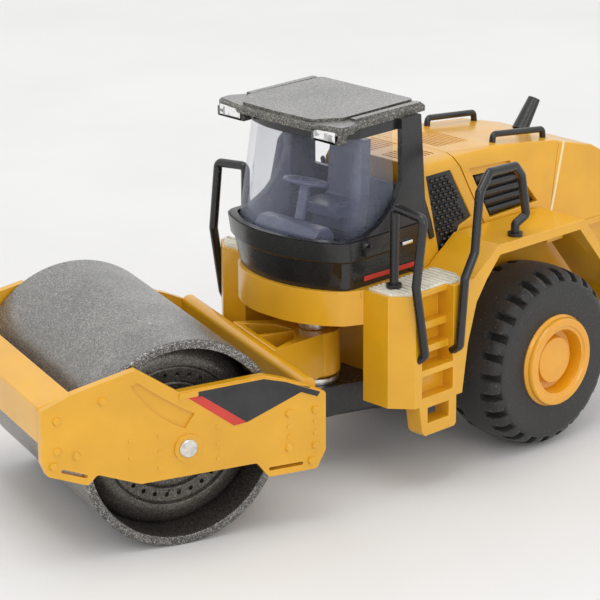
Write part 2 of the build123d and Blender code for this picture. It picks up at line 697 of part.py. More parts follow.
def cab_outline(half_width, front_x, rear_x, corner=3.0):
    """Plan of the cab: straight flanks, rounded front corners and a bowed front."""
    with BuildSketch(mode=Mode.PRIVATE) as plan:
        with BuildLine():
            Line((rear_x, -half_width), (rear_x, half_width))
            Line((rear_x, half_width), (front_x - 4.6, half_width))
            ThreePointArc((front_x - 4.6, half_width), (front_x, 0), (front_x - 4.6, -half_width))
            Line((front_x - 4.6, -half_width), (rear_x, -half_width))
        make_face()
        front_corners = plan.vertices().sort_by(Axis.X)[-2:]
        fillet(front_corners, radius=corner)
    return plan.sketch


with BuildPart() as cab_base:
    with BuildSketch(Plane.XY.offset(platform_z)):
        add(cab_outline(12.7, 43.4, cab_rear_x))
    with BuildSketch(Plane.XY.offset(skirt_step_z)):
        add(cab_outline(13.3, 44.4, cab_rear_x))
    loft()
    with BuildSketch(Plane.XY.offset(skirt_step_z)):
        add(cab_outline(13.5, 44.6, cab_rear_x))
    with BuildSketch(Plane.XY.offset(skirt_top_z)):
        add(cab_outline(13.8, 45.0, cab_rear_x))
    loft()
    with BuildSketch(Plane.XY.offset(skirt_top_z)):
        add(cab_outline(12.75, 44.0, cab_rear_x + 1.0))
    extrude(amount=floor_z - skirt_top_z, mode=Mode.SUBTRACT)
    with BuildSketch(Plane.XY.offset(platform_z)):
        add(cab_outline(11.4, 42.0, cab_rear_x + 1.4))
    extrude(amount=floor_z - 1.2 - platform_z, mode=Mode.SUBTRACT)
write(cab_base, "cab_base", rear_place)

glass_rear_x = 28.0
with BuildPart() as cab_glass:
    with BuildSketch(Plane.XY.offset(floor_z)):
        add(cab_outline(12.7, 43.9, glass_rear_x))
    with BuildSketch(Plane.XY.offset(roof_under_z - 0.6)):
        add(cab_outline(12.0, 40.8, glass_rear_x))
    loft()
    with BuildSketch(Plane.XY.offset(floor_z)):
        add(cab_outline(12.7 - glass_thickness, 43.9 - glass_thickness, glass_rear_x - 1, corner=2.2))
    with BuildSketch(Plane.XY.offset(roof_under_z - 0.6)):
        add(cab_outline(12.0 - glass_thickness, 40.8 - glass_thickness, glass_rear_x - 1, corner=2.2))
    loft(mode=Mode.SUBTRACT)
write(cab_glass, "cab_glass", rear_place)

pillar_thickness = 1.0
band_z = 59.4
with BuildPart() as cab_frame:
    for turn in (1, -1):
        with BuildSketch(side_plane(13.85 if turn > 0 else -12.85)):
            with BuildLine():
                Line((cab_rear_x, skirt_top_z), (37.0, skirt_top_z))
                ThreePointArc((37.0, skirt_top_z), (31.6, 45.2), (28.6, 48.4))
                Polyline((28.6, 48.4), (27.4, 51.0), (27.6, roof_under_z), (23.0, roof_under_z),
                         (cab_rear_x, 45.0), (cab_rear_x, skirt_top_z))
            make_face()
        extrude(amount=pillar_thickness)
    # back wall with its window
    side_box(cab_rear_x + 1.2, cab_rear_x + 2.2, -12.85, 12.85, skirt_top_z, roof_under_z)
    side_box(cab_rear_x, cab_rear_x + 3.0, -10.5, 10.5, 48.5, 58.5, mode=Mode.SUBTRACT)
    # band under the roof
    with BuildSketch(Plane.XY.offset(band_z)):
        add(cab_outline(12.9, 41.8, 23.0))
        add(cab_outline(12.1, 41.1, 24.2), mode=Mode.SUBTRACT)
    extrude(amount=roof_under_z - band_z)
write(cab_frame, "cab_frame", rear_place)

with BuildPart() as dashboard:
    side_box(36.2, 40.9, -7.0, 7.0, floor_z, 43.6)
    chamfer(dashboard.edges().filter_by(Axis.Y).group_by(Axis.Z)[-1], length=1.2)
write(dashboard, "dashboard", rear_place)

wheel_centre = (35.6, 0, 49.6)
column_foot = (37.2, 0, 43.6)
column_direction = (wheel_centre[0] - column_foot[0], 0, wheel_centre[2] - column_foot[2])
column_length = 5.6
with BuildPart() as steering_column:
    with BuildSketch(Plane(origin=column_foot, z_dir=column_direction)):
        Circle(0.9)
    extrude(amount=column_length)
write(steering_column, "steering_column", rear_place)

with BuildPart(Plane(origin=wheel_centre, z_dir=column_direction)) as steering_wheel:
    Torus(3.4, 0.45)
    Cylinder(0.9, 0.9)
    with PolarLocations(2.0, 3):
        Box(3.2, 0.6, 0.4)
write(steering_wheel, "steering_wheel", rear_place)

seat_half_width = 3.8
with BuildPart() as seat:
    with BuildSketch(side_plane(seat_half_width)) as seat_sketch:
        with BuildLine():
            Polyline((25.4, floor_z), (30.6, floor_z), (30.6, 43.2), (32.6, 43.2), (32.8, 45.2), (27.0, 45.2),
                     (26.2, 55.4), (24.4, 55.4), (24.8, 43.2), (25.4, 43.2), close=True)
        make_face()
        fillet(seat_sketch.vertices(), radius=0.25)
    extrude(amount=2 * seat_half_width)
write(seat, "seat", rear_place)

# ---------------------------------------------------------------- roof and lamps
ridge_y = (11.4, 12.5)
pod_y = (7.8, 13.9)
lamp_y = (8.5, 13.3)
lamp_z = (59.9, 61.7)
lamp_rear_x = 41.4
lamp_gap = 0.05
slab_thickness = 1.2
roof_half = [(20.6, 12.8), (37.0, 13.2), (39.4, 14.5), (41.8, 14.3), (43.2, 8.0), (43.5, 0.0)]
with BuildPart() as roof:
    with BuildSketch(Plane.XY.offset(roof_under_z)) as roof_sketch:
        with BuildLine():
            Polyline(*roof_half, *[(x, -y) for x, y in reversed(roof_half[:-1])], close=True)
        make_face()
        fillet(roof_sketch.vertices(), radius=0.7)
    extrude(amount=slab_thickness)
    chamfer(roof.faces().sort_by(Axis.Z)[-1].edges(), length=0.4)
    # flat top panel, open to the front, and a low ridge along each side
    with BuildSketch(Plane.XY.offset(roof_under_z + slab_thickness)) as top_sketch:
        with BuildLine():
            Polyline((21.4, 10.6), (38.0, 10.9), (42.3, 8.0), (42.6, 0), (42.3, -8.0), (38.0, -10.9),
                     (21.4, -10.6), close=True)
        make_face()
        fillet(top_sketch.vertices(), radius=0.8)
    extrude(amount=0.5)
    for turn in (1, -1):
        side_box(21.6, 37.0, *sorted(y * turn for y in ridge_y),
                 roof_under_z + slab_thickness - 0.2, roof_under_z + slab_thickness + 0.35)
        # pod for the lamp under the front corner
        side_box(40.3, 42.3, *sorted(y * turn for y in pod_y), 59.5, roof_under_z)
        side_box(lamp_rear_x, 45.0, *sorted(y * turn for y in lamp_y), *lamp_z, mode=Mode.SUBTRACT)
write(roof, "roof", rear_place)

with BuildPart() as roof_lamp:
    side_box(lamp_rear_x, lamp_rear_x + 1.2, lamp_y[0] + lamp_gap, lamp_y[1] - lamp_gap,
             lamp_z[0] + lamp_gap, lamp_z[1] - lamp_gap)
    fillet(roof_lamp.faces().sort_by(Axis.X)[-1].edges(), radius=0.3)
write_pair(roof_lamp, "roof_lamp", rear_place)

with BuildPart() as door_handle:
    side_box(25.2, 27.6, 13.8, 14.3, 39.9, 40.5)
write_pair(door_handle, "door_handle", rear_place)

with BuildPart() as door_hinge:
    cylinder_across(0.45, 13.7, 14.4, 35.6, 41.6)
write_pair(door_hinge, "door_hinge", rear_place)

cover_outline = [(21.3, 48.6), (20.7, 48.9), (19.6, 46.4), (18.3, 41.6), (17.9, 38.8), (18.9, 38.6),
                 (19.5, 41.6), (20.5, 45.8)]
cover_strip = flank_prism(cover_outline, 0, 0.5)
write_pair(cover_strip, "cover_strip", rear_place)

# ---------------------------------------------------------------- exhaust and rails
exhaust_base = (-17.2, 0, 48.1)
exhaust_lean = Plane(origin=exhaust_base, x_dir=(0, 1, 0), z_dir=(-0.6, 0, 0.8))
with BuildPart() as exhaust_pipe:
    with BuildSketch(exhaust_lean):
        Ellipse(1.6, 1.2)
    with BuildSketch(exhaust_lean.offset(6.2)):
        Ellipse(1.2, 0.9)
    loft()
    with BuildSketch(exhaust_lean.offset(6.2)):
        Circle(0.6)
    extrude(amount=-2.0, mode=Mode.SUBTRACT)
write(exhaust_pipe, "exhaust_pipe", rear_place)


def bent_rail(points, radius, bend):
    """A round rail bent along the given points."""
    with BuildPart() as rail:
        with BuildLine() as path:
            FilletPolyline(*points, radius=bend)
        with BuildSketch(Plane(origin=path.line @ 0, z_dir=path.line % 0)):
            Circle(radius)
        sweep()
    return rail


def on_foot(rail, foot, foot_radius, foot_height):
    """The rail with a round flange standing at foot."""
    with BuildPart() as whole:
        add(rail.part)
        with Locations((foot[0], foot[1], foot[2] + foot_height / 2)):
            Cylinder(foot_radius, foot_height)
    return whole


mat_top_z = platform_z + mat_thickness
front_rail_foot = (33.0, 17.4, mat_top_z)
front_rail = bent_rail([front_rail_foot, (32.8, 17.4, 48.2), (33.0, 23.9, 47.6), (34.5, 23.7, 36.4),
                        (32.4, 23.8, 24.4), (32.6, 22.3, 23.2)], rail_radius, 0.9)
write_pair(on_foot(front_rail, front_rail_foot, 1.3, 0.6), "front_handrail", rear_place)

rear_rail_foot = (7.6, 21.0, fender_top_z)
rear_rail = bent_rail([rear_rail_foot, (7.6, 21.0, 40.7), (5.6, 21.6, 42.1), (7.4, 22.0, 49.3),
                       (9.2, 22.2, 51.3), (16.0, 22.6, 51.7), (18.8, 23.0, 48.9), (20.6, 23.75, 39.3),
                       (23.0, 23.8, 35.3), (24.1, 23.8, 24.1), (24.1, 22.2, 22.9)], rail_radius, 0.6)
write_pair(on_foot(rear_rail, rear_rail_foot, 1.3, 0.6), "rear_handrail", rear_place)

hood_rail_radius = 0.55
hood_rail_points = [(-1.4, 7.6, 50.0), (-1.6, 7.6, 51.8), (-13.9, 8.0, 50.4), (-14.1, 8.0, 48.4)]
hood_rail = bent_rail(hood_rail_points, hood_rail_radius, 0.7)
write_pair(hood_rail, "hood_rail", rear_place)
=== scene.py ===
import bpy
import bmesh
import json
import math
from mathutils import Matrix, Vector

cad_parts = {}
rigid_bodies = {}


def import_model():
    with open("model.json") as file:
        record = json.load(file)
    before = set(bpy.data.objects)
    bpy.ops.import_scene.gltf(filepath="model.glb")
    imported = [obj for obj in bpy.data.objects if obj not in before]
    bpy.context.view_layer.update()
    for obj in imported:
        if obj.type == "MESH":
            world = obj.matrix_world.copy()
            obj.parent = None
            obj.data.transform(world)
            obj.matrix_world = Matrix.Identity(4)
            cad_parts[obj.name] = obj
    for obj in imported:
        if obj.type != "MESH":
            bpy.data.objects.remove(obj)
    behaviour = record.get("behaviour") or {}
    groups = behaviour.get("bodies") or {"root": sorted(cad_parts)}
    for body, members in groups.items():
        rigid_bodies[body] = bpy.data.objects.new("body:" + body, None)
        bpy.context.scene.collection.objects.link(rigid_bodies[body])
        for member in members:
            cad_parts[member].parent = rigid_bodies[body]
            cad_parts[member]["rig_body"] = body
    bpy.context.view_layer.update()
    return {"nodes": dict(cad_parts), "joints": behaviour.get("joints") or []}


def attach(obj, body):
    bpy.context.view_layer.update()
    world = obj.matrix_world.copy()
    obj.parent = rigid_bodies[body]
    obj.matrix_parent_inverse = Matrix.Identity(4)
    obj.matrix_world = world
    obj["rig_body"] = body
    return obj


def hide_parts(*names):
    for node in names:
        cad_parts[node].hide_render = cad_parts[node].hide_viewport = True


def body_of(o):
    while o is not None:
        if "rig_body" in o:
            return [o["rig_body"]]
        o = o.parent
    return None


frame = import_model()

scene = bpy.context.scene
joints = {joint["name"]: joint for joint in frame["joints"]}
mm = 0.001

# Local drawing frames in millimetres, heights from the floor:
# the rear one starts at the wheel axle, the drum one at the drum axle
wheelAxle = Vector(joints["wheel_spin"]["pos_m"])
drumAxle = Vector(joints["drum_spin"]["pos_m"])
drumAxis = joints["drum_spin"]["axis"]
steerAngle = math.atan2(-drumAxis[0], drumAxis[1])
rearPlace = Matrix.Translation((wheelAxle.x, wheelAxle.y, 0)) @ Matrix.Scale(mm, 4)
drumPlace = (Matrix.Translation((drumAxle.x, drumAxle.y, 0)) @ Matrix.Rotation(steerAngle, 4, "Z")
             @ Matrix.Scale(mm, 4))

print("stage: camera and light")
viewSettings = {
    "place": (369.03, 336.306, 187.176),
    "turn": (72.2766, 0.2713, 135.2881),
    "lens": 180.547,
    "sensor": 36.0,
    "shift": (-0.00066, -0.06402),
}
cameraData = bpy.data.cameras.new("studioCamera")
cameraData.lens = viewSettings["lens"]
cameraData.sensor_width = viewSettings["sensor"]
cameraData.shift_x, cameraData.shift_y = viewSettings["shift"]
cameraData.clip_start = 0.01
cameraData.clip_end = 20.0
studioCamera = bpy.data.objects.new("studioCamera", cameraData)
studioCamera.location = rearPlace @ Vector(viewSettings["place"])
studioCamera.rotation_euler = [math.radians(turn) for turn in viewSettings["turn"]]
scene.collection.objects.link(studioCamera)
scene.camera = studioCamera
scene.view_settings.view_transform = "Standard"

lightSettings = {
    "world": ((0.96, 0.965, 0.97), 0.98),
    # name: place, size, strength, colour
    "keyLight": ((0.25, 0.05, 1.0), 0.6, 3.0, (1.0, 0.98, 0.95)),
    "fillLight": ((0.30, 0.85, 0.45), 0.7, 2.2, (1.0, 0.99, 0.98)),
    "backLight": ((-0.75, -0.45, 0.70), 0.8, 0.3, (1.0, 1.0, 1.0)),
}
world = bpy.data.worlds.new("paleStudio")
world.use_nodes = True
scene.world = world
world.node_tree.nodes["Background"].inputs["Color"].default_value = (*lightSettings["world"][0], 1)
world.node_tree.nodes["Background"].inputs["Strength"].default_value = lightSettings["world"][1]
for lightName in ("keyLight", "fillLight", "backLight"):
    place, size, strength, tint = lightSettings[lightName]
    lightData = bpy.data.lights.new(lightName, "AREA")
    lightData.size = size
    lightData.energy = strength
    lightData.color = tint
    lightObject = bpy.data.objects.new(lightName, lightData)
    lightObject.location = place
    lightObject.rotation_euler = (-Vector(place)).to_track_quat("-Z", "Y").to_euler()
    scene.collection.objects.link(lightObject)

print("stage: materials")


def startMaterial(name):
    material = bpy.data.materials.new(name)
    material.use_nodes = True
    nodes = material.node_tree.nodes
    coords = nodes.new("ShaderNodeTexCoord")
    return material, nodes, material.node_tree.links, nodes["Principled BSDF"], coords.outputs["Object"]


def addNoise(nodes, links, coords, size, detail=3.0, rough=0.55):
    # size is the width of one blotch in millimetres
    noise = nodes.new("ShaderNodeTexNoise")
    noise.inputs["Scale"].default_value = 1.0 / (size * mm)
    noise.inputs["Detail"].default_value = detail
    noise.inputs["Roughness"].default_value = rough
    links.new(coords, noise.inputs["Vector"])
    return noise.outputs["Fac"]


def addRamp(nodes, links, source, stops):
    ramp = nodes.new("ShaderNodeValToRGB")
    while len(ramp.color_ramp.elements) < len(stops):
        ramp.color_ramp.elements.new(0.5)
    for element, (position, colour) in zip(ramp.color_ramp.elements, stops):
        element.position = position
        element.color = (*colour, 1)
    links.new(source, ramp.inputs["Fac"])
    return ramp.outputs["Color"]


def addMix(nodes, links, amount, first, second, way="MIX"):
    mix = nodes.new("ShaderNodeMix")
    mix.data_type = "RGBA"
    mix.blend_type = way
    if isinstance(amount, float):
        mix.inputs["Factor"].default_value = amount
    else:
        links.new(amount, mix.inputs["Factor"])
    for socket, value in (("A", first), ("B", second)):
        target = [item for item in mix.inputs if item.name == socket and item.type == "RGBA"][0]
        if isinstance(value, tuple):
            target.default_value = (*value, 1)
        else:
            links.new(value, target)
    return [item for item in mix.outputs if item.type == "RGBA"][0]


def addRange(nodes, links, source, low, high, fromLow=0.3, fromHigh=0.7):
    spread = nodes.new("ShaderNodeMapRange")
    spread.inputs["From Min"].default_value = fromLow
    spread.inputs["From Max"].default_value = fromHigh
    spread.inputs["To Min"].default_value = low
    spread.inputs["To Max"].default_value = high
    links.new(source, spread.inputs["Value"])
    return spread.outputs["Result"]


def addBump(nodes, links, shader, height, depth):
    # depth is the height of the relief in millimetres
    bump = nodes.new("ShaderNodeBump")
    bump.inputs["Strength"].default_value = 1.0
    bump.inputs["Distance"].default_value = depth * mm
    links.new(height, bump.inputs["Height"])
    links.new(bump.outputs["Normal"], shader.inputs["Normal"])


def edgeMask(nodes, links, radius):
    # 1 along rounded or sharp outer edges, 0 on flat ground
    bevel = nodes.new("ShaderNodeBevel")
    bevel.samples = 4
    bevel.inputs["Radius"].default_value = radius * mm
    geometry = nodes.new("ShaderNodeNewGeometry")
    dot = nodes.new("ShaderNodeVectorMath")
    dot.operation = "DOT_PRODUCT"
    links.new(bevel.outputs["Normal"], dot.inputs[0])
    links.new(geometry.outputs["Normal"], dot.inputs[1])
    return addRange(nodes, links, dot.outputs["Value"], 1.0, 0.0, 0.80, 0.985)


# the patch settings shape the lighter edges, which are partly wear and partly painted highlight
paintDetail = {
    "speckRange": (0.66, 0.74), "wearAndHighlightPatch": 1.6, "wearAndHighlightShare": (0.15, 1.0), "wearAndHighlightRange": (0.38, 0.62),
    "coatRoughness": 0.14,
}


def paintedMaterial(name, look):
    # moulded or painted plastic: blotchy colour, lighter edges that are partly wear and partly painted
    # highlight, fine orange peel, dust specks
    material, nodes, links, shader, coords = startMaterial(name)
    blotch = addNoise(nodes, links, coords, look["blotch"], 4.0)
    colour = addRamp(nodes, links, blotch, [(0.34, look["dark"]), (0.68, look["light"])])
    speck = addNoise(nodes, links, coords, look["speckSize"], 2.0, 0.7)
    speckMask = addRange(nodes, links, speck, 0.0, look["speckAmount"], *paintDetail["speckRange"])
    colour = addMix(nodes, links, speckMask, colour, look["speck"])
    if look["wear"] > 0:
        patchy = addRange(nodes, links, addNoise(nodes, links, coords, paintDetail["wearAndHighlightPatch"], 5.0),
                          *paintDetail["wearAndHighlightShare"], *paintDetail["wearAndHighlightRange"])
        # lighter colour along the edges, in patches: partly wear, partly a painted highlight where the
        # edges catch the light
        edge = nodes.new("ShaderNodeMath")
        edge.operation = "MULTIPLY"
        links.new(edgeMask(nodes, links, look["wearAndHighlightWidth"]), edge.inputs[0])
        links.new(patchy, edge.inputs[1])
        wearAndHighlightMask = nodes.new("ShaderNodeMath")
        wearAndHighlightMask.operation = "MULTIPLY"
        wearAndHighlightMask.inputs[1].default_value = look["wear"]
        links.new(edge.outputs[0], wearAndHighlightMask.inputs[0])
        colour = addMix(nodes, links, wearAndHighlightMask.outputs[0], colour, look["edge"])
    links.new(colour, shader.inputs["Base Color"])
    smear = addNoise(nodes, links, coords, look["blotch"] * 0.4, 5.0, 0.65)
    links.new(addRange(nodes, links, smear, *look["roughness"]), shader.inputs["Roughness"])
    peel = addNoise(nodes, links, coords, look["peelSize"], 3.0, 0.5)
    addBump(nodes, links, shader, peel, look["peelDepth"])
    shader.inputs["Coat Weight"].default_value = look["coat"]
    shader.inputs["Coat Roughness"].default_value = paintDetail["coatRoughness"]
    return material


# edge: lighter colour on the edges, partly wear and partly painted highlight
goldLook = {
    "dark": (0.64, 0.315, 0.006), "light": (0.74, 0.375, 0.009), "blotch": 14.0,
    "speck": (0.76, 0.48, 0.12), "speckSize": 0.45, "speckAmount": 0.22,
    "edge": (0.86, 0.52, 0.10), "wear": 0.40, "wearAndHighlightWidth": 0.35,
    "roughness": (0.30, 0.44), "peelSize": 0.7, "peelDepth": 0.012, "coat": 0.45,
}
rimGoldLook = dict(goldLook, dark=(0.70, 0.300, 0.006), light=(0.82, 0.370, 0.010), roughness=(0.18, 0.30),
                   coat=0.6)
# pale gold for the raised seam at the rear of the hood flank: a painted highlight along the seam
seamHighlightLook = dict(goldLook, dark=(0.78, 0.58, 0.26), light=(0.86, 0.68, 0.36), wear=0.0)
blackLook = {
    "dark": (0.0065, 0.0065, 0.007), "light": (0.013, 0.013, 0.014), "blotch": 9.0,
    "speck": (0.05, 0.05, 0.055), "speckSize": 0.35, "speckAmount": 0.35,
    "edge": (0.06, 0.06, 0.065), "wear": 0.35, "wearAndHighlightWidth": 0.22,
    "roughness": (0.20, 0.36), "peelSize": 0.5, "peelDepth": 0.02, "coat": 0.2,
}
redLook = {
    "dark": (0.50, 0.030, 0.018), "light": (0.60, 0.045, 0.028), "blotch": 5.0,
    "speck": (0.70, 0.25, 0.20), "speckSize": 0.35, "speckAmount": 0.3,
    "edge": (0.7, 0.2, 0.15), "wear": 0.0, "wearAndHighlightWidth": 0.2,
    "roughness": (0.30, 0.45), "peelSize": 0.4, "peelDepth": 0.02, "coat": 0.1,
}
decalLook = {
    "dark": (0.016, 0.016, 0.018), "light": (0.028, 0.028, 0.031), "blotch": 5.0,
    "speck": (0.10, 0.10, 0.10), "speckSize": 0.3, "speckAmount": 0.4,
    "edge": (0.1, 0.1, 0.1), "wear": 0.0, "wearAndHighlightWidth": 0.2,
    "roughness": (0.34, 0.50), "peelSize": 0.35, "peelDepth": 0.02, "coat": 0.0,
}
ribLook = {
    "dark": (0.60, 0.57, 0.47), "light": (0.78, 0.75, 0.65), "blotch": 3.0,
    "speck": (0.25, 0.24, 0.22), "speckSize": 0.5, "speckAmount": 0.6,
    "edge": (0.85, 0.84, 0.80), "wear": 0.5, "wearAndHighlightWidth": 0.15,
    "roughness": (0.40, 0.62), "peelSize": 0.35, "peelDepth": 0.04, "coat": 0.0,
}
# the cabin parts' lighter edge colour is partly wear and partly painted highlight
cabinLook = dict(blackLook, dark=(0.060, 0.066, 0.115), light=(0.095, 0.103, 0.165), speckAmount=0.1,
                 wear=0.3, edge=(0.22, 0.23, 0.32))
cabinNavy = paintedMaterial("cabinNavy", cabinLook)
goldPaint = paintedMaterial("goldPaint", goldLook)
rimGold = paintedMaterial("rimGold", rimGoldLook)
seamHighlightPaint = paintedMaterial("seamHighlightPaint", seamHighlightLook)
blackPlastic = paintedMaterial("blackPlastic", blackLook)
redPaint = paintedMaterial("redPaint", redLook)
decalBlack = paintedMaterial("decalBlack", decalLook)
ribWhite = paintedMaterial("ribWhite", ribLook)


def flakeMaterial(name, look):
    # dark paint full of metal flakes
    material, nodes, links, shader, coords = startMaterial(name)
    cells = nodes.new("ShaderNodeTexVoronoi")
    cells.inputs["Scale"].default_value = 1.0 / (look["flake"] * mm)
    links.new(coords, cells.inputs["Vector"])
    tone = nodes.new("ShaderNodeSeparateColor")
    links.new(cells.outputs["Color"], tone.inputs["Color"])
    colour = addRamp(nodes, links, tone.outputs[0],
                     [(0.0, look["dark"]), (0.62, look["mid"]), (0.97, look["bright"])])
    blotch = addNoise(nodes, links, coords, look["blotch"], 5.0, 0.6)
    shade = addRamp(nodes, links, blotch, [(0.32, (0.78, 0.78, 0.78)), (0.7, (1.08, 1.07, 1.05))])
    colour = addMix(nodes, links, 1.0, colour, shade, "MULTIPLY")
    scuff = addNoise(nodes, links, coords, look["scuff"], 6.0, 0.7)
    scuffMask = addRange(nodes, links, scuff, 0.0, look["scuffAmount"], 0.60, 0.70)
    colour = addMix(nodes, links, scuffMask, colour, look["scuffColour"])
    links.new(colour, shader.inputs["Base Color"])
    links.new(addRange(nodes, links, tone.outputs[1], *look["roughness"], 0.0, 1.0),
              shader.inputs["Roughness"])
    shader.inputs["Metallic"].default_value = look["metallic"]
    addBump(nodes, links, shader, tone.outputs[2], look["relief"])
    return material


flakeLook = {
    "flake": 0.13, "dark": (0.13, 0.128, 0.122), "mid": (0.22, 0.217, 0.208), "bright": (0.46, 0.45, 0.43),
    "blotch": 12.0, "scuff": 6.0, "scuffAmount": 0.20, "scuffColour": (0.32, 0.315, 0.30),
    "roughness": (0.24, 0.40), "metallic": 0.55, "relief": 0.004,
}
# darker copy of the flake paint for the drum ends and the drum bore: painted shade for the shadow inside
# the drum
shadedInnerLook = dict(flakeLook, dark=(0.055, 0.050, 0.044), mid=(0.105, 0.096, 0.084),
                 bright=(0.24, 0.225, 0.20))
# a darker copy for the sides of the roof and a lighter copy for its top: painted shade on the sides,
# painted light on the top
shadedRoofSideLook = dict(flakeLook, flake=0.14, dark=(0.06, 0.058, 0.052), mid=(0.115, 0.112, 0.10),
                bright=(0.38, 0.37, 0.33))
litRoofLook = dict(flakeLook, dark=(0.17, 0.168, 0.162), mid=(0.27, 0.267, 0.258),
                bright=(0.50, 0.49, 0.47))
rimLook = dict(flakeLook, dark=(0.06, 0.058, 0.055), mid=(0.13, 0.126, 0.118), bright=(0.50, 0.49, 0.47),
               scuffAmount=0.45, scuff=1.5, scuffColour=(0.34, 0.33, 0.31), metallic=0.6)
flakePaint = flakeMaterial("flakePaint", flakeLook)
shadedInnerFlake = flakeMaterial("shadedInnerFlake", shadedInnerLook)
roofFlake = flakeMaterial("roofFlake", litRoofLook)
shadedRoofSideFlake = flakeMaterial("shadedRoofSideFlake", shadedRoofSideLook)
wornRim = flakeMaterial("wornRim", rimLook)


def rubberMaterial(name, look):
    material, nodes, links, shader, coords = startMaterial(name)
    blotch = addNoise(nodes, links, coords, look["blotch"], 5.0, 0.6)
    colour = addRamp(nodes, links, blotch, [(0.3, look["dark"]), (0.7, look["light"])])
    dust = addNoise(nodes, links, coords, look["dustSize"], 2.0, 0.8)
    dustMask = addRange(nodes, links, dust, 0.0, look["dustAmount"], 0.64, 0.72)
    colour = addMix(nodes, links, dustMask, colour, look["dust"])
    links.new(colour, shader.inputs["Base Color"])
    links.new(addRange(nodes, links, blotch, *look["roughness"]), shader.inputs["Roughness"])
    grain = addNoise(nodes, links, coords, look["grain"], 4.0, 0.7)
    addBump(nodes, links, shader, grain, look["grainDepth"])
    shader.inputs["Sheen Weight"].default_value = look["sheen"]
    return material


rubberLook = {
    "dark": (0.012, 0.012, 0.012), "light": (0.024, 0.024, 0.023), "dust": (0.24, 0.24, 0.23),
    "dustSize": 0.32, "dustAmount": 0.55, "roughness": (0.52, 0.72), "grain": 0.3, "grainDepth": 0.06,
    "blotch": 7.0, "sheen": 0.12,
}
tyreRubber = rubberMaterial("tyreRubber", rubberLook)


def metalMaterial(name, look):
    # bare metal: brushed streaks, tarnish blotches and small dents
    material, nodes, links, shader, coords = startMaterial(name)
    stretch = nodes.new("ShaderNodeMapping")
    stretch.inputs["Scale"].default_value = look["stretch"]
    links.new(coords, stretch.inputs["Vector"])
    brushed = addNoise(nodes, links, stretch.outputs["Vector"], look["brush"], 4.0, 0.6)
    tarnish = addNoise(nodes, links, coords, look["tarnishSize"], 5.0, 0.6)
    colour = addRamp(nodes, links, tarnish, [(0.32, look["dark"]), (0.66, look["light"])])
    links.new(colour, shader.inputs["Base Color"])
    links.new(addRange(nodes, links, brushed, *look["roughness"]), shader.inputs["Roughness"])
    shader.inputs["Metallic"].default_value = 1.0
    addBump(nodes, links, shader, brushed, look["depth"])
    return material


steelLook = {
    "stretch": (1.0, 1.0, 4.0), "brush": 0.3, "tarnishSize": 1.2, "dark": (0.50, 0.48, 0.44),
    "light": (0.86, 0.84, 0.79), "roughness": (0.22, 0.48), "depth": 0.03,
}
chromeLook = dict(steelLook, dark=(0.72, 0.72, 0.72), light=(0.93, 0.93, 0.92),
                  roughness=(0.06, 0.18), depth=0.01)
bareSteel = metalMaterial("bareSteel", steelLook)
chromeFinish = metalMaterial("chromeFinish", chromeLook)


def clearMaterial(name, look):
    # clear moulded plastic: faint blue body, more reflection at a grazing angle, fine scratches
    material, nodes, links, shader, coords = startMaterial(name)
    haze = addNoise(nodes, links, coords, look["hazeSize"], 5.0, 0.65)
    links.new(addRamp(nodes, links, haze, [(0.3, look["deep"]), (0.7, look["pale"])]),
              shader.inputs["Base Color"])
    facing = nodes.new("ShaderNodeLayerWeight")
    facing.inputs["Blend"].default_value = look["blend"]
    links.new(addRange(nodes, links, facing.outputs["Facing"], *look["cover"], 0.0, 1.0),
              shader.inputs["Alpha"])
    links.new(addRange(nodes, links, haze, *look["roughness"]), shader.inputs["Roughness"])
    scratch = addNoise(nodes, links, coords, look["scratchSize"], 6.0, 0.7)
    addBump(nodes, links, shader, scratch, look["scratchDepth"])
    shader.inputs["Coat Weight"].default_value = 1.0
    shader.inputs["Coat Roughness"].default_value = 0.03
    material.surface_render_method = "BLENDED"
    return material


glassLook = {
    "deep": (0.34, 0.37, 0.52), "pale": (0.50, 0.53, 0.66), "hazeSize": 6.0, "blend": 0.3,
    "cover": (0.05, 0.42), "roughness": (0.03, 0.07), "scratchSize": 3.0, "scratchDepth": 0.004,
}
clearPlastic = clearMaterial("clearPlastic", glassLook)


def lensMaterial(name, look):
    # faceted silvered reflector under a clear lens
    material, nodes, links, shader, coords = startMaterial(name)
    facets = nodes.new("ShaderNodeTexVoronoi")
    facets.inputs["Scale"].default_value = 1.0 / (look["facet"] * mm)
    links.new(coords, facets.inputs["Vector"])
    tone = nodes.new("ShaderNodeSeparateColor")
    links.new(facets.outputs["Color"], tone.inputs["Color"])
    links.new(addRamp(nodes, links, tone.outputs[0], [(0.0, look["dark"]), (0.45, look["light"])]),
              shader.inputs["Base Color"])
    links.new(addRange(nodes, links, tone.outputs[1], *look["roughness"], 0.0, 1.0),
              shader.inputs["Roughness"])
    shader.inputs["Metallic"].default_value = look["metallic"]
    shader.inputs["Coat Weight"].default_value = 1.0
    addBump(nodes, links, shader, tone.outputs[2], look["relief"])
    return material


lensLook = {
    "facet": 0.9, "dark": (0.25, 0.25, 0.27), "light": (0.92, 0.92, 0.92),
    "roughness": (0.03, 0.2), "metallic": 0.8, "relief": 0.25,
}
lampLens = lensMaterial("lampLens", lensLook)

# finish and record slot of each CAD material
finishes = {
    "yellow_paint": goldPaint, "grey_flake_paint": flakePaint, "tyre_rubber": tyreRubber,
    "black_plastic": blackPlastic, "clear_plastic": clearPlastic, "red_plastic": redPaint,
    "chrome": chromeFinish, "white_paint": ribWhite, "steel": bareSteel,
}

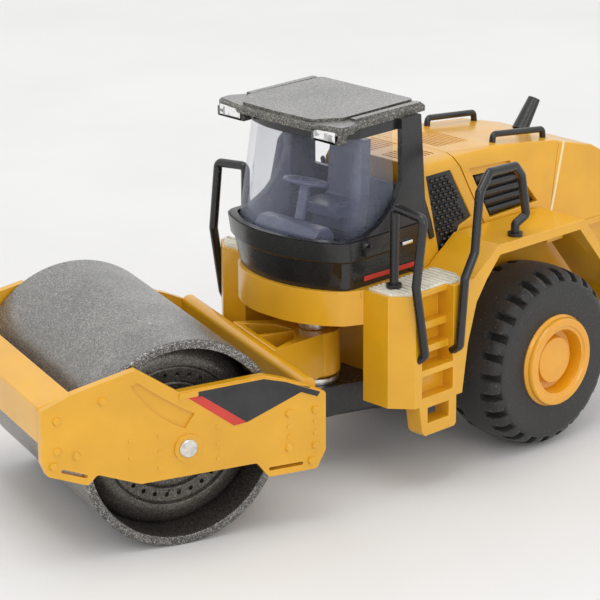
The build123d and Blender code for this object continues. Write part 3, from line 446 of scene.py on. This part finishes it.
print("stage: floor")
floorLook = {
    "half": 3.0, "blotch": 60.0, "roughness": 0.6,
    "dark": (0.71, 0.708, 0.70), "light": (0.745, 0.743, 0.737),
}
floorMaterial, floorNodes, floorLinks, floorShader, floorCoords = startMaterial("paleFloor")
floorTone = addNoise(floorNodes, floorLinks, floorCoords, floorLook["blotch"])
floorRamp = addRamp(floorNodes, floorLinks, floorTone,
                    [(0.35, floorLook["dark"]), (0.65, floorLook["light"])])
floorLinks.new(floorRamp, floorShader.inputs["Base Color"])
floorShader.inputs["Roughness"].default_value = floorLook["roughness"]
floorBuild = bmesh.new()
bmesh.ops.create_grid(floorBuild, x_segments=4, y_segments=4, size=floorLook["half"])
floorMesh = bpy.data.meshes.new("paleFloor")
floorBuild.to_mesh(floorMesh)
floorBuild.free()
floorMesh.materials.append(floorMaterial)
floor = bpy.data.objects.new("paleFloor", floorMesh)
scene.collection.objects.link(floor)


sharpAngle = math.radians(32.0)


def makePiece(name, build, place, body, materials, replaced=()):
    # turns a bmesh drawn in a local frame into a finished piece that rides on its body
    bmesh.ops.transform(build, matrix=place, verts=build.verts)
    mesh = bpy.data.meshes.new(name)
    build.to_mesh(mesh)
    build.free()
    for material in materials:
        mesh.materials.append(material)
    mesh.polygons.foreach_set("use_smooth", [True] * len(mesh.polygons))
    mesh.set_sharp_from_angle(angle=sharpAngle)
    piece = bpy.data.objects.new(name, mesh)
    scene.collection.objects.link(piece)
    shading = piece.modifiers.new("evenShading", "WEIGHTED_NORMAL")
    shading.keep_sharp = True
    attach(piece, body)
    if replaced:
        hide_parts(*replaced)
    return piece


def bodyOf(node):
    return body_of(frame["nodes"][node])[0]


def pieceName(node):
    words = node.split("_")
    return words[0] + "".join(word.capitalize() for word in words[1:])


copySettings = {
    "merge": 0.002,  # mm
    "flat": 0.8,  # degrees
    "corner": 28.0,  # degrees above which an edge is rounded
    "segments": 2,
    "room": 2.3,  # shortest neighbouring edge, in widths of the rounding
    "upward": 0.9,
}


def softenedCopy(node, width, material=None, shadedSideMaterial=None):
    # a copy of a CAD node with its doubles merged, flat ground joined up and its edges rounded
    source = frame["nodes"][node]
    slotName = source.material_slots[0].name.split(".")[0]
    build = bmesh.new()
    build.from_mesh(source.data)
    merge = copySettings["merge"] * mm
    bmesh.ops.remove_doubles(build, verts=build.verts, dist=merge)
    bmesh.ops.dissolve_degenerate(build, dist=merge, edges=build.edges)
    bmesh.ops.dissolve_limit(build, angle_limit=math.radians(copySettings["flat"]), verts=build.verts,
                             edges=build.edges, delimit=set())
    if width > 0:
        room = copySettings["room"] * width * mm
        corner = math.radians(copySettings["corner"])

        def roomy(edge):
            return all(other.calc_length() > room
                       for vertex in edge.verts for other in vertex.link_edges)

        chosen = [edge for edge in build.edges if len(edge.link_faces) == 2
                  and edge.calc_face_angle(0) > corner and roomy(edge)]
        if chosen:
            bmesh.ops.bevel(build, geom=chosen, offset=width * mm, offset_type="OFFSET",
                            segments=copySettings["segments"], profile=0.5, affect="EDGES",
                            clamp_overlap=True, material=-1)
    materials = [material or finishes[slotName]]
    # faces that do not point up take the second material, a darker copy of the first: painted shade on the
    # sides
    if shadedSideMaterial is not None:
        materials.append(shadedSideMaterial)
        build.normal_update()
        for face in build.faces:
            face.material_index = 0 if face.normal.z > copySettings["upward"] else 1
    return makePiece(pieceName(node), build, Matrix.Identity(4), bodyOf(node), materials,
                     (node,))


print("stage: softened copies of the CAD nodes")
# width of the rounding in millimetres
softened = {
    "left_side_plate": 0.22, "right_side_plate": 0.22, "front_beam": 0.3, "cross_bar": 0.3, "yoke": 0.25,
    "drum_axle": 0.1, "frame_screws": 0.12, "left_drum_end": 0.12, "right_drum_end": 0.12,
    "left_drum_bush": 0.12, "right_drum_bush": 0.12, "rear_axle": 0.1,
    "left_tyre": 0.16, "right_tyre": 0.16,
    "left_rim": 0.15, "right_rim": 0.15, "chassis": 0.25, "pivot_screw": 0.1, "pivot_washer": 0.08,
    "chassis_screws": 0.1, "body_casting": 0.25, "left_tread_mat": 0.05, "right_tread_mat": 0.05,
    "hood_front": 0.25, "hood_middle": 0.25, "hood_rear": 0.3,
    "left_mesh_panel": 0.1, "right_mesh_panel": 0.1,
    "rear_grille": 0.12, "rear_bumper": 0.3,
    "cab_base": 0.25, "cab_glass": 0.12, "cab_frame": 0.2, "dashboard": 0.3, "steering_column": 0.1,
    "steering_wheel": 0.0, "seat": 0.25, "roof": 0.25, "left_cover_strip": 0.12, "right_cover_strip": 0.12,
    "exhaust_pipe": 0.15, "left_front_handrail": 0.0, "right_front_handrail": 0.0,
    "left_rear_handrail": 0.0, "right_rear_handrail": 0.0, "left_hood_rail": 0.0, "right_hood_rail": 0.0,
    "left_door_handle": 0.12, "right_door_handle": 0.12, "left_door_hinge": 0.08, "right_door_hinge": 0.08,
    "tail_lamps": 0.15, "left_roof_lamp": 0.1, "right_roof_lamp": 0.1,
}
# the drum ends take the darker flake copy, which is painted shade inside the drum
special = {
    "left_roof_lamp": lampLens, "right_roof_lamp": lampLens, "left_rim": rimGold, "right_rim": rimGold,
    "left_drum_end": shadedInnerFlake, "right_drum_end": shadedInnerFlake, "roof": roofFlake,
    "seat": cabinNavy, "dashboard": cabinNavy, "steering_column": cabinNavy, "steering_wheel": cabinNavy,
}
# the roof's sides take a darker copy of the roof paint: painted shade
flanks = {"roof": shadedRoofSideFlake}
for node, width in softened.items():
    softenedCopy(node, width, material=special.get(node), shadedSideMaterial=flanks.get(node))

print("stage: drum shell")
shellShape = {
    "radius": 17.0, "half": 23.0, "wall": 1.5, "round": 0.35, "steps": 144,
    "arc": 4,  # faces round the outer edge
    "endBand": 0.3, "boreBand": 0.2,  # how far from the end or the bore a face still counts as part of it
}


def spinProfile(points, axisPoint, steps):
    # a closed outline of (height from the axis, distance along it) spun round an axis along Y
    build = bmesh.new()
    corners = [build.verts.new((axisPoint[0], along, axisPoint[2] + height)) for height, along in points]
    edges = [build.edges.new((corners[i], corners[(i + 1) % len(corners)])) for i in range(len(corners))]
    bmesh.ops.spin(build, geom=corners + edges, cent=axisPoint, axis=(0, 1, 0), angle=2 * math.pi,
                   steps=steps, use_merge=True, use_duplicate=False)
    bmesh.ops.remove_doubles(build, verts=build.verts, dist=0.001)
    bmesh.ops.recalc_face_normals(build, faces=build.faces)
    return build


outer = shellShape["radius"]
bore = outer - shellShape["wall"]
half = shellShape["half"]
turn = shellShape["round"]
shellOutline = []
arcAngles = [math.pi / 2 * step / shellShape["arc"] for step in range(shellShape["arc"] + 1)]
for side in (1, -1):
    quarter = [(outer - turn + turn * math.cos(angle), half - turn + turn * math.sin(angle))
               for angle in arcAngles]
    inside = [(bore + turn * 0.7, half), (bore + turn * 0.2, half - turn * 0.2), (bore, half - turn * 0.8)]
    rimPart = quarter + inside
    shellOutline += [(r, y * side) for r, y in (rimPart if side > 0 else reversed(rimPart))]
drumBuild = spinProfile(shellOutline, (0, 0, outer), shellShape["steps"])
# end bands take the rim flake; bore faces take the darker flake copy, which is painted shade inside the
# drum
for face in drumBuild.faces:
    middle = face.calc_center_median()
    if abs(middle.y) > half - shellShape["endBand"]:
        face.material_index = 1
    elif Vector((middle.x, middle.z - outer)).length < bore + shellShape["boreBand"]:
        face.material_index = 2
makePiece("drumShell", drumBuild, drumPlace, "drum",
          [flakePaint, wornRim, shadedInnerFlake], ("drum_shell",))

print("stage: plate decals")
decalShape = {
    "face": 24.8, "sunk": 0.02, "lift": 0.05,
    "triangle": [(-1.9, 25.6), (-13.2, 26.0), (-17.0, 24.9), (-21.3, 23.6), (-10.2, 19.5)],
    "stripe": [(0.2, 25.5), (-1.9, 25.6), (-10.2, 19.5), (-8.0, 19.3)],
    # the strip that lies over the raised bead
    "overBead": [(-1.9, 26.0), (-13.1, 26.3), (-16.9, 25.2), (-22.9, 22.6), (-22.4, 21.9), (-16.7, 24.3),
                 (-13.0, 25.5), (-1.9, 25.2)],
    "beadLift": 0.29,
}


def flatShape(points, low, high):
    # a thin upright slab facing +Y from an outline in X and Z
    build = bmesh.new()
    face = build.faces.new([build.verts.new((x, low, z)) for x, z in points])
    grown = bmesh.ops.extrude_face_region(build, geom=[face])
    lifted = [item for item in grown["geom"] if isinstance(item, bmesh.types.BMVert)]
    bmesh.ops.translate(build, verts=lifted, vec=(0, high - low, 0))
    bmesh.ops.recalc_face_normals(build, faces=build.faces)
    return build


def mirroredBuild(build):
    other = build.copy()
    bmesh.ops.scale(other, vec=(1, -1, 1), verts=other.verts)
    bmesh.ops.recalc_face_normals(other, faces=other.faces)
    return other


def makePair(name, build, place, body, materials, replaced=()):
    other = mirroredBuild(build)
    makePiece("left" + name, build, place, body, materials,
              [f"left_{node}" for node in replaced])
    makePiece("right" + name, other, place, body, materials,
              [f"right_{node}" for node in replaced])


plateFace = decalShape["face"]
decalLow = plateFace - decalShape["sunk"]
decalHigh = plateFace + decalShape["lift"]
makePair("PlateTriangle", flatShape(decalShape["triangle"], decalLow, decalHigh),
         drumPlace, "drum_frame", [decalBlack])
beadTop = plateFace + decalShape["beadLift"]
makePair("PlateTriangleTop", flatShape(decalShape["overBead"], plateFace, beadTop),
         drumPlace, "drum_frame", [decalBlack])
makePair("PlateStripe", flatShape(decalShape["stripe"], decalLow, decalHigh),
         drumPlace, "drum_frame", [redPaint])

print("stage: hood flanks")
flankShape = {"base": 12.6, "foot": 33.5, "tilt": 7.35}
studShape = {
    "outline": [(17.6, 48.3), (12.9, 48.3), (9.3, 40.6), (11.6, 39.9), (14.4, 36.0), (16.1, 36.0)],
    "pitch": (1.175, 0.925), "radius": 0.56, "squash": 0.8, "rise": 0.42, "depth": -0.16, "sides": 6,
    # share of the rise and of the radius at each ring
    "rings": ((0.0, 1.0), (0.6, 0.85), (1.0, 0.45)),
}
louvreShape = {
    # front top, rear top, rear bottom, front bottom
    "back": [(7.0, 46.9), (-3.3, 46.4), (-8.5, 39.5), (3.7, 39.1)], "backDepth": (-1.85, -1.2),
    "ledge": [(7.5, 48.1), (-2.5, 47.5), (-3.4, 46.3), (7.0, 46.8)], "ledgeDepth": (-1.8, -0.8),
    "slats": 5, "pitch": 1.5, "radius": 0.66, "flatten": 0.9, "low": 40.0, "depth": -1.0, "sides": 12,
    "inset": 0.5, "endRound": 0.25, "endSpread": 0.4,
}
seamShape = {
    "rear": [(-16.75, 48.2), (-16.2, 48.2), (-11.05, 35.8), (-11.6, 35.8)], "depth": (-0.3, 0.14),
}
flankTilt = math.radians(flankShape["tilt"])
flankPlace = (rearPlace @ Matrix.Translation((0, flankShape["base"], flankShape["foot"]))
              @ Matrix.Rotation(flankTilt, 4, "X"))


def onFlank(points):
    # heights above the floor changed to distances up the sloping flank
    return [(x, (z - flankShape["foot"]) / math.cos(flankTilt)) for x, z in points]


def flankPair(name, build, materials, replaced=()):
    # the second side is the first one mirrored after it has been laid on the flank
    bmesh.ops.transform(build, matrix=rearPlace.inverted() @ flankPlace, verts=build.verts)
    makePair(name, build, rearPlace, "rear_machine", materials, replaced)


def isInside(x, z, outline):
    hit = False
    for (ax, az), (bx, bz) in zip(outline, outline[1:] + outline[:1]):
        if (az > z) != (bz > z) and x < ax + (z - az) / (bz - az) * (bx - ax):
            hit = not hit
    return hit


def joinRings(build, rings):
    for low, high in zip(rings, rings[1:]):
        count = len(low)
        for k in range(count):
            build.faces.new((low[k], low[(k + 1) % count], high[(k + 1) % count], high[k]))


def roundRing(build, sides, spot):
    # spot gives the place of a corner from its angle
    return [build.verts.new(spot(2 * math.pi * k / sides)) for k in range(sides)]


def addStud(build, x, z, shape):
    rings = []
    for level, spread in shape["rings"]:
        radius = shape["radius"] * spread
        depth = shape["depth"] + shape["rise"] * level
        rings.append(roundRing(build, shape["sides"], lambda angle: (
            x + radius * math.cos(angle), depth, z + shape["squash"] * radius * math.sin(angle))))
    joinRings(build, rings)
    build.faces.new(rings[-1])


def studField(shape):
    # staggered low domes inside an outline
    build = bmesh.new()
    outline = onFlank(shape["outline"])
    xs = [x for x, z in outline]
    zs = [z for x, z in outline]
    row = 0
    z = min(zs)
    while z < max(zs):
        x = min(xs) + (shape["pitch"][0] / 2 if row % 2 else 0)
        while x < max(xs):
            if isInside(x, z, outline):
                addStud(build, x, z, shape)
            x += shape["pitch"][0]
        z += shape["pitch"][1]
        row += 1
    bmesh.ops.recalc_face_normals(build, faces=build.faces)
    return build


def addSlat(build, rearX, frontX, height, shape):
    # a rounded bar along X with its ends drawn in
    rings = []
    for x, spread in ((rearX, shape["endSpread"]), (rearX + shape["endRound"], 1.0),
                      (frontX - shape["endRound"], 1.0), (frontX, shape["endSpread"])):
        radius = shape["radius"] * spread
        rings.append(roundRing(build, shape["sides"], lambda angle: (
            x, shape["depth"] + shape["flatten"] * radius * math.cos(angle),
            height + radius * math.sin(angle))))
    joinRings(build, rings)
    build.faces.new(rings[0])
    build.faces.new(list(reversed(rings[-1])))


flankPair("MeshStuds", studField(studShape), [blackPlastic])

backOutline = onFlank(louvreShape["back"])
frontTop, rearTop, rearBottom, frontBottom = backOutline
louvreBuild = flatShape(backOutline, *louvreShape["backDepth"])
for slat in range(louvreShape["slats"]):
    rise = louvreShape["low"] + slat * louvreShape["pitch"] - flankShape["foot"]
    height = rise / math.cos(flankTilt)
    share = (height - frontBottom[1]) / (frontTop[1] - frontBottom[1])
    frontX = frontBottom[0] + (frontTop[0] - frontBottom[0]) * share - louvreShape["inset"]
    rearX = rearBottom[0] + (rearTop[0] - rearBottom[0]) * share + louvreShape["inset"]
    addSlat(louvreBuild, rearX, frontX, height, louvreShape)
bmesh.ops.recalc_face_normals(louvreBuild, faces=louvreBuild.faces)
flankPair("LouvrePanel", louvreBuild, [blackPlastic], ["louvre_panel"])
flankPair("LouvreLedge", flatShape(onFlank(louvreShape["ledge"]), *louvreShape["ledgeDepth"]),
          [goldPaint])
# the rear seam strip carries the pale gold: a painted highlight
flankPair("RearSeam", flatShape(onFlank(seamShape["rear"]), *seamShape["depth"]),
          [seamHighlightPaint])

print("stage: cab skirt band")
bandShape = {"low": 39.25, "high": 42.8, "grow": (1.012, 1.018), "centre": (32.0, 0.0)}


def bandOf(node, low, high, grow, centre):
    # the slice of a CAD node between two heights, grown a little outwards so that it stands proud
    build = bmesh.new()
    build.from_mesh(frame["nodes"][node].data)
    bmesh.ops.remove_doubles(build, verts=build.verts, dist=copySettings["merge"] * mm)
    for height, side in ((low, -1), (high, 1)):
        bmesh.ops.bisect_plane(build, geom=build.verts[:] + build.edges[:] + build.faces[:],
                               plane_co=(0, 0, height * mm), plane_no=(0, 0, side), clear_outer=True)
        rim = [edge for edge in build.edges if len(edge.link_faces) == 1]
        bmesh.ops.triangle_fill(build, edges=rim, use_beauty=True)
    middle = rearPlace @ Vector((centre[0], centre[1], 0))
    for vertex in build.verts:
        vertex.co.x = middle.x + (vertex.co.x - middle.x) * grow[0]
        vertex.co.y = middle.y + (vertex.co.y - middle.y) * grow[1]
    bmesh.ops.recalc_face_normals(build, faces=build.faces)
    return build


makePiece("cabSkirtBand", bandOf("cab_base", bandShape["low"], bandShape["high"], bandShape["grow"],
                                 bandShape["centre"]),
          Matrix.Identity(4), "rear_machine", [blackPlastic])

print("stage: cab flanks")
cabShape = {
    "stripe": [(35.3, 35.3), (35.3, 36.1), (23.0, 36.0), (23.0, 35.2)], "stripeFace": (12.6, 12.99),
    "seam": [(37.2, 42.7), (36.8, 42.7), (36.0, 39.9), (36.4, 39.9)],
    "sill": [(35.6, 37.1), (35.6, 37.5), (23.2, 37.5), (23.2, 37.1)],
    "grooveFace": (12.8, 13.12), "seamFace": (13.2, 14.1),
}
makePair("CabStripe", flatShape(cabShape["stripe"], *cabShape["stripeFace"]), rearPlace, "rear_machine",
         [redPaint])
makePair("DoorSill", flatShape(cabShape["sill"], *cabShape["grooveFace"]), rearPlace, "rear_machine",
         [blackPlastic])
makePair("DoorSeam", flatShape(cabShape["seam"], *cabShape["seamFace"]),
         rearPlace, "rear_machine", [blackPlastic])

print("stage: done")
